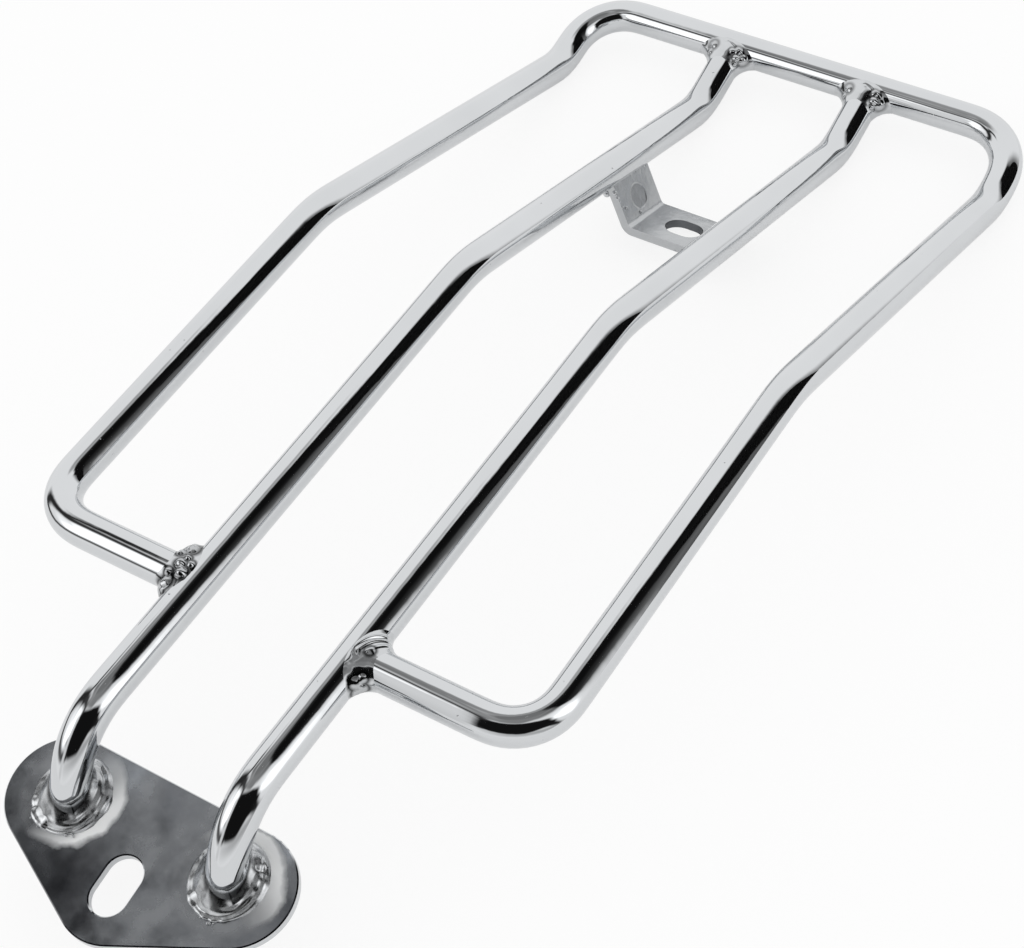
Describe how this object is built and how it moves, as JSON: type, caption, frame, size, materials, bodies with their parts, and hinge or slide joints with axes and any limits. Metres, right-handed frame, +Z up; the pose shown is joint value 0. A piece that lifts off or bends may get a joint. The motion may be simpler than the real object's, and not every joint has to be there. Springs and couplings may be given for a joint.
{
  "type": "motorcycle luggage rack",
  "caption": "Chromed round-bar luggage rack for a motorcycle: a bent outer hoop welded to a pair of inner bars, with a slotted front plate and a folded rear bracket.",
  "frame": {"origin": "middle of the front slot, on the underside of the front plate", "axes": "+X to the rider's right, +Y to the rear along the rack, +Z up; the front run of the bars is level"},
  "size_m": [0.2026, 0.4557, 0.0669],
  "materials": {
    "chrome_bar": "bright polished chrome plate",
    "chrome_plate": "chrome plate over rolled sheet, slightly mottled",
    "chrome_strip": "chrome plate over bar strip, duller than the bars",
    "chrome_weld": "chrome plate over rough weld beads"
  },
  "bodies": {
    "root": {"front_mount_plate": "chrome_plate", "rear_bracket": "chrome_strip", "left_inner_bar": "chrome_bar", "right_inner_bar": "chrome_bar", "outer_hoop": "chrome_bar", "left_plate_weld": "chrome_weld", "right_plate_weld": "chrome_weld", "left_stub_weld": "chrome_weld", "right_stub_weld": "chrome_weld", "left_rear_weld": "chrome_weld", "right_rear_weld": "chrome_weld", "left_bracket_weld": "chrome_weld", "right_bracket_weld": "chrome_weld"}
  },
  "joints": []
}
